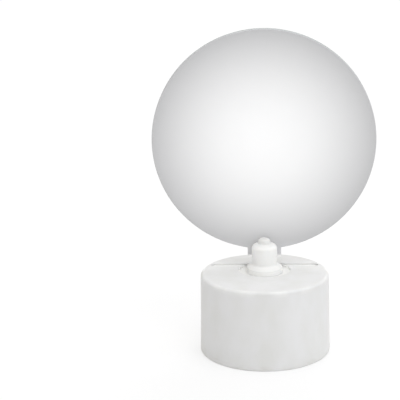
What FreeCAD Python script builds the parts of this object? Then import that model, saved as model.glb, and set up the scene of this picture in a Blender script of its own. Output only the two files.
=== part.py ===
"""A battery table lamp: a round acrylic plate on a tongue, standing in a small white base with a flame.

Millimetres. The origin is the centre of the ring that the base rests on, +Z is up and the front faces -Y.
"""
import FreeCAD, Part
import math
import os

V = FreeCAD.Vector
os.makedirs("parts", exist_ok=True)

# Acrylic panel
disc_diameter = 80.0
sheet_thickness = 3.0
tongue_width = 12.2
neck_height = 6.6           # of the tongue between the roof of the base and the disc
tongue_sink = 8.0           # how far the tongue reaches below the roof
sheet_edge_radius = 0.25
panel_gap = 0.1             # running gap round the tongue in its slot

# Outer shell of the base
base_height = 29.0
top_radius = 23.0
foot_radius = 23.5          # the wall leans out a little towards the foot, to leave its mould
top_edge_radius = 1.0
foot_edge_radius = 0.7
wall = 2.0
roof = 1.8
inner_corner_radius = 0.8
seat_wall = 1.4             # the wall is thinner below the step that the plate seats on

# Round well in the roof, and the shallow groove that crosses it
flame_axis_y = 3.4
well_radius = 9.3
well_depth = 0.9
well_edge_radius = 0.25
well_floor = 1.8            # thickness of the roof below the well
well_pad_margin = 1.2       # how far the thick part reaches past the well
groove_length = 39.2
groove_depth = 0.6

# Flame diffuser
flame_back = 3.6            # from the flame's axis to the flat that clears the panel
collar_radius = 6.5
collar_height = 1.0         # above the roof
collar_edge_radius = 0.35
skirt_height = 1.2          # from the collar up to the straight stub
skirt_fillet = 1.0
stub_radius = 4.55
shoulder_height = 9.0       # these three heights are above the roof, before rounding
step_height = 9.85
tip_height = 11.6
shoulder_radius = 1.6
step_radius = 2.75
step_ledge = 0.25
tip_radius = 1.9
spigot_radius = 4.2
spigot_length = 2.4
spigot_gap = 0.05
spigot_edge_radius = 0.3
tip_edge_radius = 1.1
bore_radius = 2.8
bore_top_height = 8.0       # above the roof
bore_top_radius = 1.6
bore_taper = 1.5
bore_bend_radius = 0.8
bore_end_radius = 0.4

# Pocket that guides the tongue below the roof
pocket_wall = 1.2
pocket_floor = 1.2
pocket_window_width = 7.8
light_slot_width = 8.0
light_slot_depth = 1.6

# Base plate, which closes the base from below
plate_lift = 1.2            # from the table to its underside
plate_thickness = 1.6
plate_gap = 0.15

# Screws that hold the plate up in the shell's posts
post_inset = 3.1            # from the wall round the plate to a post's middle
post_radius = 2.9
post_angles = (90, 210, 330)
plate_screw_radius = 1.0
plate_screw_bite = 6.0      # depth of the hole in the post
plate_screw_head_radius = 1.9
plate_screw_head_height = 1.3
plate_screw_sink = 0.9
screw_end_gap = 0.3         # from a screw's end to the bottom of its hole
screw_tip_share = 0.3       # of the shank's radius
screw_dome_share = 0.45     # these four are shares of the head's radius or height
recess_reach_share = 0.62
recess_blade_share = 0.16
recess_depth_share = 0.6
screw_gap = 0.1             # round a screw in the piece that it clamps
thread_gap = 0.05           # round a screw in the piece that it bites
head_gap = 0.2

# Three button cells in a row along X, in a compartment on the plate
cell_radius = 5.8
cell_length = 5.4
cell_count = 3
cell_cap_radius = 4.6
cell_cap_height = 0.5
cell_edge_radius = 0.4
cell_cap_edge_radius = 0.15
cell_gap = 0.2
compartment_wall = 1.2
compartment_gap = 0.9       # from the shell's inside to the compartment's front corners
spring_room = 3.6           # from the negative contact to the first cell

# Contacts of the compartment
contact_thickness = 0.3
contact_width = 6.0
contact_foot = 1.2          # above the plate
contact_tail = 0.8          # above the circuit board
contact_gap = 0.1
contact_bulge = 0.4         # of the positive contact, towards the cell
bulge_half_height = 1.4
bulge_ramp = 1.6
contact_bend_radius = 0.8
spring_foot_slope = (0.9, 1.4)      # back from the cell and up from the foot, where the leaf turns upward
spring_face = (-1.2, 0.8)           # the stretch that bears on the cell, from the cell's middle
spring_tail = (1.2, 2.2)            # back from the cell and up from the bearing stretch

# Battery door, hinged on two pegs at its right end
door_gap = 0.2
peg_radius = 0.6
peg_length = 0.9
peg_gap = 0.05
door_rest = 0.8             # ledge above the door's free end
door_rest_height = 1.0
grip_grooves = 3
grip_groove_width = 0.6
grip_groove_depth = 0.35
grip_groove_pitch = 1.6
grip_groove_length = 6.0
finger_notch_radius = 3.4
finger_notch_depth = 0.8

# Circuit board
board_thickness = 1.2
board_post_gap = 1.05       # from the board's ends to the shell's posts
board_behind_led = 4.6
board_corner_radius = 1.5
board_post_side_inset = 3.0
board_post_back_inset = 2.5
board_post_radius = 2.0
small_screw_radius = 0.8
small_screw_bite = 4.0
small_screw_head_radius = 1.5
small_screw_head_height = 0.9

# Light source: a 5 mm LED on two leads
led_radius = 2.5
led_flange_radius = 2.9
led_flange_height = 1.0
led_height = 8.6
led_below_spigot = 0.7      # from the flange up to the diffuser's spigot
lead_size = 0.5
lead_spacing = 2.54
lead_tail = 1.2
lead_depth = 3.4            # how far the leads reach into the lens
led_flag_reach = 0.3
led_flag_height = 0.6
led_cup_size = 1.1
led_cup_height = 1.0
die_well_radius = 0.4
die_well_depth = 0.4

# Series resistor, lying across the board
resistor_behind_bay = 2.0
resistor_radius = 1.15
resistor_length = 6.3
resistor_cap_radius = 1.3
resistor_cap_length = 1.4
resistor_lead_radius = 0.3
resistor_span = 10.2
resistor_bend_radius = 0.8
hole_gap = 0.1              # round a lead in the board

# Slide switch on the plate, at the back
switch_post_gap = 1.3       # from the shell's rear post
switch_length = 8.6
switch_width = 3.6
switch_height = 3.6
switch_sheet = 0.3
switch_ear_length = 3.2
switch_ear_thickness = 0.5
switch_travel = 2.0
switch_board_thickness = 1.0
knob_length = 3.0
knob_width = 2.6
knob_proud = 0.8            # below the plate
knob_neck_width = 1.8
knob_block_length = 4.0
knob_block_height = 1.3
knob_rib_depth = 0.25
knob_rib_width = 0.3
knob_gap = 0.15
wiper_thickness = 0.15
wiper_width = 1.6
wiper_end_inset = 0.2       # from the knob's block
wiper_crest_inset = 0.7     # from the wiper's end to the middle of a crest
wiper_crest_half = 0.25
wiper_ramp = 0.3
wiper_bend_radius = 0.12
wiper_gap = 0.05            # under the terminals
terminal_pitch = 2.5
terminal_width = 0.8
terminal_thickness = 0.3
terminal_tag = 2.6          # above the switch
terminal_reach = 0.2        # below its board
switch_screw_bite = 1.3

# Wires from the switch to the board
wire_radius = 0.5
wire_start_lift = 0.5       # above the switch
wire_post_gap = 2.0         # from the board's posts
wire_pocket_gap = 0.6       # in front of the tongue's pocket
wire_run_start = 3.6        # the height above its start where the wire turns towards the board
wire_run_rise = 1.2
wire_bend_radius = 2.4
wire_tail = 0.4

# Heights and places that follow from the sizes above
plate_top = plate_lift + plate_thickness
roof_underside = base_height - roof
seat_radius = foot_radius - seat_wall
lean = (foot_radius - top_radius) / base_height
well_bottom = base_height - well_depth
pad_underside = well_bottom - well_floor
flat_y = flame_axis_y + flame_back
sheet_front_y = flat_y + panel_gap
sheet_back_y = sheet_front_y + sheet_thickness
slot_back_y = sheet_back_y + panel_gap
slot_half_width = tongue_width / 2 + panel_gap
tongue_foot_height = base_height - tongue_sink
disc_centre_height = base_height + neck_height + disc_diameter / 2
post_circle = seat_radius - post_inset
cells_length = cell_count * cell_length
cell_bay_half = (cells_length + spring_room + contact_bulge + contact_thickness * 2) / 2
cell_bay_width = 2 * (cell_radius + cell_gap)
cell_axis_height = plate_top + cell_gap + cell_radius
cell_bay_top = cell_axis_height + cell_radius + cell_gap
board_bottom = cell_bay_top + compartment_wall
board_top = board_bottom + board_thickness
compartment_half = cell_bay_half + compartment_wall
corner_circle = foot_radius - lean * board_bottom - wall - compartment_gap
cell_bay_front = compartment_wall - math.sqrt(corner_circle ** 2 - compartment_half ** 2)
cell_bay_middle = cell_bay_front + cell_bay_width / 2
cell_bay_back = cell_bay_front + cell_bay_width
cells_right = cell_bay_half - contact_thickness - contact_bulge
hinge_x = cell_bay_half - door_gap - plate_thickness / 2
hinge_z = plate_lift + plate_thickness / 2
side_post_x = max(post_circle * math.cos(math.radians(angle)) for angle in post_angles)
board_half_width = side_post_x - post_radius - board_post_gap
board_front = cell_bay_front
board_back = flame_axis_y + board_behind_led
board_post_x = board_half_width - board_post_side_inset
board_post_y = board_back - board_post_back_inset
resistor_y = cell_bay_back + compartment_wall + resistor_behind_bay
led_foot = well_bottom - spigot_length - led_below_spigot - led_flange_height
switch_y = post_circle - post_radius - switch_post_gap - switch_width / 2
switch_top = plate_top + switch_height
terminal_low = switch_top - switch_board_thickness - terminal_reach
knob_x = -switch_travel / 2     # the switch is stored off
knob_head_top = plate_top - knob_gap
knob_block_floor = plate_top + switch_sheet + knob_gap
knob_block_top = knob_block_floor + knob_block_height
wire_hole_x = board_post_x - board_post_radius - wire_post_gap - wire_radius
wire_hole_y = flat_y - pocket_wall - wire_pocket_gap - wire_radius


def block(x0, x1, y0, y1, z0, z1):
    return Part.makeBox(x1 - x0, y1 - y0, z1 - z0, V(x0, y0, z0))


def rod(radius, z0, z1, x=0.0, y=0.0):
    return Part.makeCylinder(radius, z1 - z0, V(x, y, z0))


def rod_along_x(radius, x0, x1, y, z):
    return Part.makeCylinder(radius, x1 - x0, V(x0, y, z), V(1, 0, 0))


def rod_along_y(radius, y0, y1, x, z):
    return Part.makeCylinder(radius, y1 - y0, V(x, y0, z), V(0, 1, 0))


def rounded_wire(corners, closed=True):
    """A wire through (point, radius) corners, each turned on an arc tangent to both of its runs."""
    count = len(corners)
    turns = []
    for i, (point, radius) in enumerate(corners):
        at_end = not closed and i in (0, count - 1)
        if radius <= 0 or at_end:
            turns.append((point, None, point))
            continue
        back = (corners[i - 1][0] - point).normalize()
        ahead = (corners[(i + 1) % count][0] - point).normalize()
        half_angle = back.getAngle(ahead) / 2
        trim = radius / math.tan(half_angle)
        inward = (back + ahead).normalize()
        middle = point + inward * (radius / math.sin(half_angle) - radius)
        turns.append((point + back * trim, middle, point + ahead * trim))
    edges = []
    for i, (start, middle, end) in enumerate(turns):
        if middle is not None:
            edges.append(Part.Arc(start, middle, end).toShape())
        if closed or i < count - 1:
            following = turns[(i + 1) % count][0]
            if (following - end).Length > 1e-6:
                edges.append(Part.makeLine(end, following))
    return Part.Wire(edges)


def turned(profile, x=0.0, y=0.0):
    """A solid of revolution about the upright line at (x, y), from (radius, height, corner radius) points."""
    corners = [(V(radius, 0, height), corner) for radius, height, corner in profile]
    solid = Part.Face(rounded_wire(corners)).revolve(V(0, 0, 0), V(0, 0, 1), 360)
    solid.translate(V(x, y, 0))
    return solid


def bent_strip(points, bend_radius, thickness, y0, y1):
    """Sheet metal bent along (x, z) points of its middle line, from y0 to y1 wide."""
    path = [V(x, 0, z) for x, z in points]
    sides = {1: [], -1: []}
    for i, point in enumerate(path):
        before = (point - path[i - 1]).normalize() if i > 0 else None
        after = (path[i + 1] - point).normalize() if i < len(path) - 1 else None
        normals = [V(-run.z, 0, run.x) for run in (before, after) if run is not None]
        if len(normals) == 1:
            mitre = normals[0]
            turn = 0.0
        else:
            mitre = (normals[0] + normals[1]) * (1 / (1 + normals[0].dot(normals[1])))
            turn = normals[0].dot(after)
        for side in sides:
            radius = bend_radius - side * math.copysign(thickness / 2, turn) if turn else 0.0
            sides[side].append((point + mitre * (side * thickness / 2), radius))
    face = Part.Face(rounded_wire(sides[1] + sides[-1][::-1]))
    strip = face.extrude(V(0, y1 - y0, 0))
    strip.translate(V(0, y0, 0))
    return strip


def tube(corners, radius):
    """A round wire along (point, bend radius) corners."""
    path = rounded_wire(corners, closed=False)
    start = corners[0][0]
    heading = (corners[1][0] - start).normalize()
    section = Part.Wire(Part.makeCircle(radius, start, heading))
    solid = path.makePipeShell([section], True, False)
    return solid


def rounded_box(x0, x1, y0, y1, z0, z1, radius):
    """An upright plate whose four corners are round in plan."""
    corners = [(V(x, y, z0), radius) for x, y in ((x0, y0), (x1, y0), (x1, y1), (x0, y1))]
    return Part.Face(rounded_wire(corners)).extrude(V(0, 0, z1 - z0))


def slot_cutter(length, y0, y1, z0, z1):
    """A slot along X with round ends, centred on x = 0."""
    end = (y1 - y0) / 2
    return rounded_box(-length / 2, length / 2, y0, y1, z0, z1, end)


def edges_at(shape, test):
    return [edge for edge in shape.Edges if test(edge)]


def screw(shank_radius, length, head_radius, head_height):
    """A pan-head screw with a cross recess, standing on its head's seat: shank up, head down."""
    shank = turned([(0, 0, 0), (shank_radius, 0, 0), (shank_radius, length - shank_radius, 0),
                    (shank_radius * screw_tip_share, length, 0), (0, length, 0)])
    head = turned([(0, -head_height, 0), (head_radius, -head_height, head_height * screw_dome_share),
                   (head_radius, 0, 0), (0, 0, 0)])
    driver = head_radius * recess_reach_share
    blade = head_radius * recess_blade_share
    floor = -head_height * (1 - recess_depth_share)
    cross = block(-driver, driver, -blade, blade, -head_height, floor)
    cross = cross.fuse(block(-blade, blade, -driver, driver, -head_height, floor))
    return shank.fuse(head).cut(cross).removeSplitter()


def post_places():
    return [(post_circle * math.cos(math.radians(angle)), post_circle * math.sin(math.radians(angle)))
            for angle in post_angles]


def board_post_places():
    return [(side * board_post_x, board_post_y) for side in (-1, 1)]


def switch_ear_places():
    return [(side * (switch_length + switch_ear_length) / 2, switch_y) for side in (-1, 1)]


def terminal_places():
    return [(step * terminal_pitch, switch_y) for step in (-1, 0, 1)]


# Acrylic panel: one flat cut sheet, disc and tongue together
def make_acrylic_panel():
    radius = disc_diameter / 2
    disc = rod_along_y(radius, sheet_front_y, sheet_back_y, 0, disc_centre_height)
    half = tongue_width / 2
    tongue = block(-half, half, sheet_front_y, sheet_back_y, tongue_foot_height, disc_centre_height)
    panel = disc.fuse(tongue).removeSplitter()
    rim = edges_at(panel, lambda edge: edge.BoundBox.YLength < 1e-6)
    return panel.makeFillet(sheet_edge_radius, rim)


# Base shell: a moulded cup, open below
def make_base_shell():
    inner_low = foot_radius - lean * plate_top - wall
    inner_high = top_radius - wall
    shell = turned([
        (0, base_height, 0),
        (top_radius, base_height, top_edge_radius),
        (foot_radius, 0, foot_edge_radius),
        (seat_radius, 0, 0),
        (seat_radius, plate_top, 0),
        (inner_low, plate_top, 0),
        (inner_high, roof_underside, inner_corner_radius),
        (0, roof_underside, 0)])
    pad = rod(well_radius + well_pad_margin, pad_underside, roof_underside, y=flame_axis_y)
    rail_half = slot_half_width + pocket_wall
    rail_front = flat_y - pocket_wall
    rail_back = slot_back_y + pocket_wall
    pocket = block(-rail_half, rail_half, rail_front, rail_back,
                   tongue_foot_height - pocket_floor, roof_underside)
    posts = [rod(post_radius, plate_top, roof_underside, x, y) for x, y in post_places()]
    shell = shell.fuse([pad, pocket] + posts)

    well = rod(well_radius, well_bottom, base_height, y=flame_axis_y)
    groove = slot_cutter(groove_length, flat_y, slot_back_y, base_height - groove_depth, base_height)
    spigot_hole = rod(spigot_radius + spigot_gap, pad_underside, well_bottom, y=flame_axis_y)
    spigot_hole = spigot_hole.cut(block(-well_radius, well_radius, flat_y, flat_y + well_radius,
                                        pad_underside, well_bottom))
    tongue_hole = block(-slot_half_width, slot_half_width, flat_y, slot_back_y,
                        tongue_foot_height, well_bottom)
    half_window = pocket_window_width / 2
    window = block(-half_window, half_window, rail_front, flat_y, tongue_foot_height, pad_underside)
    sheet_middle = (sheet_front_y + sheet_back_y) / 2
    light_slot = block(-light_slot_width / 2, light_slot_width / 2,
                       sheet_middle - light_slot_depth / 2, sheet_middle + light_slot_depth / 2,
                       tongue_foot_height - pocket_floor, tongue_foot_height)
    bites = [rod(plate_screw_radius + thread_gap, plate_top, plate_top + plate_screw_bite, x, y)
             for x, y in post_places()]
    shell = shell.cut([well, groove, spigot_hole, tongue_hole, window, light_slot] + bites)
    shell = shell.removeSplitter()

    def on_well_rim(edge):
        box = edge.BoundBox
        flat = box.ZLength < 1e-6 and abs(box.ZMin - base_height) < 1e-6
        round_edge = hasattr(edge.Curve, "Radius") and abs(edge.Curve.Radius - well_radius) < 1e-6
        return flat and round_edge

    return shell.makeFillet(well_edge_radius, edges_at(shell, on_well_rim))


# Flame diffuser: collar, stub and a spigot through the roof, hollow over the light source
def make_flame_diffuser():
    roof_z = base_height
    outside = [
        (0, well_bottom - spigot_length, 0),
        (spigot_radius, well_bottom - spigot_length, spigot_edge_radius),
        (spigot_radius, well_bottom, 0),
        (collar_radius, well_bottom, 0),
        (collar_radius, roof_z + collar_height, collar_edge_radius),
        (stub_radius, roof_z + collar_height + skirt_height, skirt_fillet),
        (stub_radius, roof_z + shoulder_height, shoulder_radius),
        (step_radius, roof_z + step_height, 0),
        (step_radius - step_ledge, roof_z + step_height, 0),
        (tip_radius, roof_z + tip_height, tip_edge_radius),
        (0, roof_z + tip_height, 0)]
    inside = [
        (0, well_bottom - spigot_length, 0),
        (bore_radius, well_bottom - spigot_length, 0),
        (bore_radius, roof_z + bore_top_height - bore_taper, bore_bend_radius),
        (bore_top_radius, roof_z + bore_top_height, bore_end_radius),
        (0, roof_z + bore_top_height, 0)]
    flame = turned(outside, y=flame_axis_y).cut(turned(inside, y=flame_axis_y))
    behind = block(-collar_radius, collar_radius, flat_y, flat_y + collar_radius,
                   0, roof_z + tip_height)
    return flame.cut(behind)


# Base plate with the cell compartment and the board's posts, one moulding
def make_base_plate():
    plate = rod(seat_radius - plate_gap, plate_lift, plate_top)
    box_front = cell_bay_front - compartment_wall
    box_back = cell_bay_back + compartment_wall
    compartment = block(-compartment_half, compartment_half, box_front, box_back, plate_top, board_bottom)
    posts = [rod(board_post_radius, plate_top, board_bottom, x, y) for x, y in board_post_places()]
    plate = plate.fuse([compartment] + posts)

    bay = block(-cell_bay_half, cell_bay_half, cell_bay_front, cell_bay_back, plate_lift, cell_bay_top)
    rest = block(-cell_bay_half, -cell_bay_half + door_rest, cell_bay_front, cell_bay_back,
                 plate_top, plate_top + door_rest_height)
    cuts = [bay.cut(rest)]
    peg_reach = peg_length + door_gap + peg_gap
    cuts.append(rod_along_y(peg_radius + peg_gap, cell_bay_front - peg_reach, cell_bay_back + peg_reach,
                            hinge_x, hinge_z))
    slot_thickness = contact_thickness + contact_gap
    slot_half = contact_width / 2 + contact_gap
    for side in (-1, 1):
        outer = side * cell_bay_half
        inner = side * (cell_bay_half - slot_thickness)
        cuts.append(block(min(outer, inner), max(outer, inner), cell_bay_middle - slot_half,
                          cell_bay_middle + slot_half, cell_bay_top, board_bottom))
    for x, y in post_places():
        cuts.append(rod(plate_screw_radius + screw_gap, plate_lift, plate_top, x, y))
        cuts.append(rod(plate_screw_head_radius + head_gap, plate_lift, plate_lift + plate_screw_sink, x, y))
    for x, y in board_post_places():
        cuts.append(rod(small_screw_radius + thread_gap, board_bottom - small_screw_bite, board_bottom, x, y))
    for x, y in switch_ear_places():
        cuts.append(rod(small_screw_radius + thread_gap, plate_top - switch_screw_bite, plate_top, x, y))
    knob_way = (knob_length + switch_travel) / 2 + knob_gap
    knob_side = knob_width / 2 + knob_gap
    cuts.append(block(-knob_way, knob_way, switch_y - knob_side, switch_y + knob_side, plate_lift, plate_top))
    notch_x = -cell_bay_half
    notch = rod(finger_notch_radius, plate_lift, plate_lift + finger_notch_depth, notch_x, cell_bay_middle)
    cuts.append(notch.cut(block(notch_x, notch_x + finger_notch_radius, cell_bay_front, cell_bay_back,
                                plate_lift, plate_top)))
    return plate.cut(cuts).removeSplitter()


# Screws through the plate into the shell's posts
def make_plate_screws():
    length = plate_thickness - plate_screw_sink + plate_screw_bite - screw_end_gap
    screws = []
    for x, y in post_places():
        one = screw(plate_screw_radius, length, plate_screw_head_radius, plate_screw_head_height)
        one.translate(V(x, y, plate_lift + plate_screw_sink))
        screws.append(one)
    return Part.makeCompound(screws)


# Button cells, with their caps towards the spring contact
def make_cell(index):
    cell = turned([
        (0, 0, 0),
        (cell_radius, 0, cell_edge_radius),
        (cell_radius, cell_length - cell_cap_height, cell_edge_radius),
        (cell_cap_radius, cell_length - cell_cap_height, 0),
        (cell_cap_radius, cell_length, cell_cap_edge_radius),
        (0, cell_length, 0)])
    cell.rotate(V(0, 0, 0), V(0, 1, 0), -90)
    cell.translate(V(cells_right - index * cell_length, cell_bay_middle, cell_axis_height))
    return cell


# Sheet-metal contacts at the ends of the compartment: a leaf spring on the left, a bulged plate on the right
def contact_strip(points):
    return bent_strip(points, contact_bend_radius, contact_thickness,
                      cell_bay_middle - contact_width / 2, cell_bay_middle + contact_width / 2)


def make_contact_negative():
    wall_x = -cell_bay_half + contact_thickness / 2
    touch_x = cells_right - cells_length - contact_thickness / 2
    foot = plate_top + contact_foot
    slope_back, slope_up = spring_foot_slope
    face_low, face_high = spring_face
    tail_back, tail_up = spring_tail
    return contact_strip([
        (wall_x, board_top + contact_tail),
        (wall_x, foot),
        (touch_x - slope_back, foot + slope_up),
        (touch_x, cell_axis_height + face_low),
        (touch_x, cell_axis_height + face_high),
        (touch_x - tail_back, cell_axis_height + face_high + tail_up)])


def make_contact_positive():
    wall_x = cell_bay_half - contact_thickness / 2
    touch_x = cells_right + contact_thickness / 2
    ramp_end = bulge_half_height + bulge_ramp
    return contact_strip([
        (wall_x, board_top + contact_tail),
        (wall_x, cell_axis_height + ramp_end),
        (touch_x, cell_axis_height + bulge_half_height),
        (touch_x, cell_axis_height - bulge_half_height),
        (wall_x, cell_axis_height - ramp_end),
        (wall_x, plate_top + contact_foot)])


# Battery door: its right end is a round knuckle with two pegs
def make_battery_door():
    front = cell_bay_front + door_gap
    back = cell_bay_back - door_gap
    free_x = -cell_bay_half + door_gap
    leaf = block(free_x, hinge_x, front, back, plate_lift, plate_top)
    knuckle = rod_along_y(plate_thickness / 2, front, back, hinge_x, hinge_z)
    peg_reach = door_gap + peg_length
    pegs = rod_along_y(peg_radius, front - peg_reach, back + peg_reach, hinge_x, hinge_z)
    door = leaf.fuse([knuckle, pegs])
    grooves = []
    for i in range(grip_grooves):
        x = free_x + grip_groove_pitch * (i + 1)
        grooves.append(block(x, x + grip_groove_width, cell_bay_middle - grip_groove_length / 2,
                             cell_bay_middle + grip_groove_length / 2, plate_lift,
                             plate_lift + grip_groove_depth))
    return door.cut(grooves).removeSplitter()


# Circuit board with its holes
def make_circuit_board():
    board = rounded_box(-board_half_width, board_half_width, board_front, board_back,
                        board_bottom, board_top, board_corner_radius)
    holes = []
    for x, y in board_post_places():
        holes.append(rod(small_screw_radius + screw_gap, board_bottom, board_top, x, y))
    lead_hole = lead_size / 2 * math.sqrt(2) + hole_gap
    for side in (-1, 1):
        holes.append(rod(lead_hole, board_bottom, board_top, side * lead_spacing / 2, flame_axis_y))
        holes.append(rod(resistor_lead_radius + hole_gap, board_bottom, board_top,
                         side * resistor_span / 2, resistor_y))
        holes.append(rod(wire_radius + hole_gap, board_bottom, board_top, side * wire_hole_x, wire_hole_y))
        contact_x = side * (cell_bay_half - contact_thickness / 2)
        half = contact_thickness / 2 + contact_gap
        long_half = contact_width / 2 + contact_gap
        holes.append(block(contact_x - half, contact_x + half, cell_bay_middle - long_half,
                           cell_bay_middle + long_half, board_bottom, board_top))
    return board.cut(holes)


def small_screws(places, depth, seat_height):
    """Screws driven downward, with their heads seated at one height and their holes this deep."""
    screws = []
    for x, y in places:
        one = screw(small_screw_radius, depth - screw_end_gap,
                    small_screw_head_radius, small_screw_head_height)
        one.rotate(V(0, 0, 0), V(1, 0, 0), 180)
        one.translate(V(x, y, seat_height))
        screws.append(one)
    return Part.makeCompound(screws)


def make_board_screws():
    return small_screws(board_post_places(), board_thickness + small_screw_bite, board_top)


# LED: the two leads reach into the lens, one with a cup for the die
def make_led_lead(side):
    x = side * lead_spacing / 2
    half = lead_size / 2
    inside_top = led_foot + lead_depth
    lead = block(x - half, x + half, flame_axis_y - half, flame_axis_y + half,
                 board_bottom - lead_tail, inside_top)
    if side > 0:
        return lead.fuse(block(x - half - led_flag_reach, x + half, flame_axis_y - half, flame_axis_y + half,
                               inside_top - led_flag_height, inside_top)).removeSplitter()
    reach = led_cup_size + half
    cup = block(x - half, x + reach, flame_axis_y - led_cup_size / 2, flame_axis_y + led_cup_size / 2,
                inside_top - led_cup_height, inside_top)
    hollow = rod(die_well_radius, inside_top - die_well_depth, inside_top, x + reach / 2, flame_axis_y)
    return lead.fuse(cup).cut(hollow).removeSplitter()


def make_led_lens(leads):
    lens = turned([
        (0, led_foot, 0),
        (led_flange_radius, led_foot, 0),
        (led_flange_radius, led_foot + led_flange_height, 0),
        (led_radius, led_foot + led_flange_height, 0),
        (led_radius, led_foot + led_height, led_radius),
        (0, led_foot + led_height, 0)], y=flame_axis_y)
    return lens.cut(leads)


def make_limit_resistor():
    axis_z = board_top + resistor_cap_radius
    half = resistor_length / 2
    body = rod_along_x(resistor_radius, -half, half, resistor_y, axis_z)
    caps = []
    for side in (-1, 1):
        outer = side * half
        inner = side * (half - resistor_cap_length)
        caps.append(rod_along_x(resistor_cap_radius, min(outer, inner), max(outer, inner),
                                resistor_y, axis_z))
    foot = board_bottom - lead_tail
    end = resistor_span / 2
    lead = tube([
        (V(-end, resistor_y, foot), 0),
        (V(-end, resistor_y, axis_z), resistor_bend_radius),
        (V(end, resistor_y, axis_z), resistor_bend_radius),
        (V(end, resistor_y, foot), 0)], resistor_lead_radius)
    return body.fuse(caps + [lead]).removeSplitter()


# Slide switch: a folded steel frame, a board with three terminals, a wiper and a knob
def make_switch_frame():
    half = switch_length / 2
    side = switch_width / 2
    can = block(-half, half, switch_y - side, switch_y + side, plate_top, switch_top)
    ear_end = half + switch_ear_length
    ears = block(-ear_end, ear_end, switch_y - side, switch_y + side,
                 plate_top, plate_top + switch_ear_thickness)
    hollow = block(-half + switch_sheet, half - switch_sheet, switch_y - side + switch_sheet,
                   switch_y + side - switch_sheet, plate_top + switch_sheet, switch_top)
    way = (knob_length + switch_travel) / 2 + knob_gap
    neck = knob_neck_width / 2 + knob_gap
    cuts = [hollow, block(-way, way, switch_y - neck, switch_y + neck, plate_top, plate_top + switch_sheet)]
    for x, y in switch_ear_places():
        cuts.append(rod(small_screw_radius + screw_gap, plate_top, plate_top + switch_ear_thickness, x, y))
    return can.fuse(ears).cut(cuts).removeSplitter()


def make_switch_board(terminals):
    half = switch_length / 2 - switch_sheet
    side = switch_width / 2 - switch_sheet
    board = block(-half, half, switch_y - side, switch_y + side,
                  switch_top - switch_board_thickness, switch_top)
    return board.cut(terminals)


def make_switch_terminals():
    tags = []
    for x, y in terminal_places():
        tags.append(block(x - terminal_width / 2, x + terminal_width / 2, y - terminal_thickness / 2,
                          y + terminal_thickness / 2, terminal_low, switch_top + terminal_tag))
    return Part.makeCompound(tags)


def make_switch_knob():
    head = block(knob_x - knob_length / 2, knob_x + knob_length / 2, switch_y - knob_width / 2,
                 switch_y + knob_width / 2, plate_lift - knob_proud, knob_head_top)
    neck = block(knob_x - knob_length / 2, knob_x + knob_length / 2, switch_y - knob_neck_width / 2,
                 switch_y + knob_neck_width / 2, knob_head_top, knob_block_floor)
    side = switch_width / 2 - switch_sheet - knob_gap
    slider = block(knob_x - knob_block_length / 2, knob_x + knob_block_length / 2, switch_y - side,
                   switch_y + side, knob_block_floor, knob_block_top)
    knob = head.fuse([neck, slider])
    ribs = []
    for step in (-1, 0, 1):
        x = knob_x + step * knob_rib_width * 3
        ribs.append(block(x - knob_rib_width / 2, x + knob_rib_width / 2, switch_y - knob_width / 2,
                          switch_y + knob_width / 2, plate_lift - knob_proud,
                          plate_lift - knob_proud + knob_rib_depth))
    return knob.cut(ribs).removeSplitter()


def make_switch_wiper():
    z = knob_block_top + wiper_thickness / 2
    crest_z = terminal_low - wiper_gap - wiper_thickness / 2
    end = knob_block_length / 2 - wiper_end_inset
    crest = end - wiper_crest_inset
    right = [
        (crest - wiper_crest_half - wiper_ramp, z),
        (crest - wiper_crest_half, crest_z),
        (crest + wiper_crest_half, crest_z),
        (crest + wiper_crest_half + wiper_ramp, z),
        (end, z)]
    left = [(-x, height) for x, height in right[::-1]]
    points = [(x + knob_x, height) for x, height in left + right]
    return bent_strip(points, wiper_bend_radius, wiper_thickness,
                      switch_y - wiper_width / 2, switch_y + wiper_width / 2)


def make_switch_screws():
    return small_screws(switch_ear_places(), switch_ear_thickness + switch_screw_bite,
                        plate_top + switch_ear_thickness)


# Insulated wires, each soldered to the front of a terminal and passed up through the board
def make_switch_wire(side):
    x0 = side * terminal_pitch
    y0 = switch_y - terminal_thickness / 2 - wire_radius
    x1 = side * wire_hole_x
    start_z = switch_top + wire_start_lift
    turn_z = start_z + wire_run_start
    return tube([
        (V(x0, y0, start_z), 0),
        (V(x0, y0, turn_z), wire_bend_radius),
        (V(x1, wire_hole_y, turn_z + wire_run_rise), wire_bend_radius),
        (V(x1, wire_hole_y, board_top + wire_tail), 0)], wire_radius)


def save(name, shape):
    shape.exportStep("parts/" + name + ".step")
    solids = shape.Solids
    state = "valid" if shape.isValid() else "NOT VALID"
    print(f"{name:18s} solids {len(solids):2d}  volume {shape.Volume:10.2f} mm3  {state}")


def main():
    anode = make_led_lead(1)
    cathode = make_led_lead(-1)
    terminals = make_switch_terminals()
    save("acrylic_panel", make_acrylic_panel())
    save("base_shell", make_base_shell())
    save("flame_diffuser", make_flame_diffuser())
    save("base_plate", make_base_plate())
    save("plate_screws", make_plate_screws())
    save("battery_door", make_battery_door())
    for index in range(cell_count):
        save(f"button_cell_{index + 1}", make_cell(index))
    save("contact_negative", make_contact_negative())
    save("contact_positive", make_contact_positive())
    save("circuit_board", make_circuit_board())
    save("board_screws", make_board_screws())
    save("led_lens", make_led_lens([anode, cathode]))
    save("led_anode_lead", anode)
    save("led_cathode_lead", cathode)
    save("limit_resistor", make_limit_resistor())
    save("switch_frame", make_switch_frame())
    save("switch_board", make_switch_board(terminals))
    save("switch_terminals", terminals)
    save("switch_knob", make_switch_knob())
    save("switch_wiper", make_switch_wiper())
    save("switch_screws", make_switch_screws())
    save("switch_wire_red", make_switch_wire(1))
    save("switch_wire_black", make_switch_wire(-1))


main()
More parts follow.
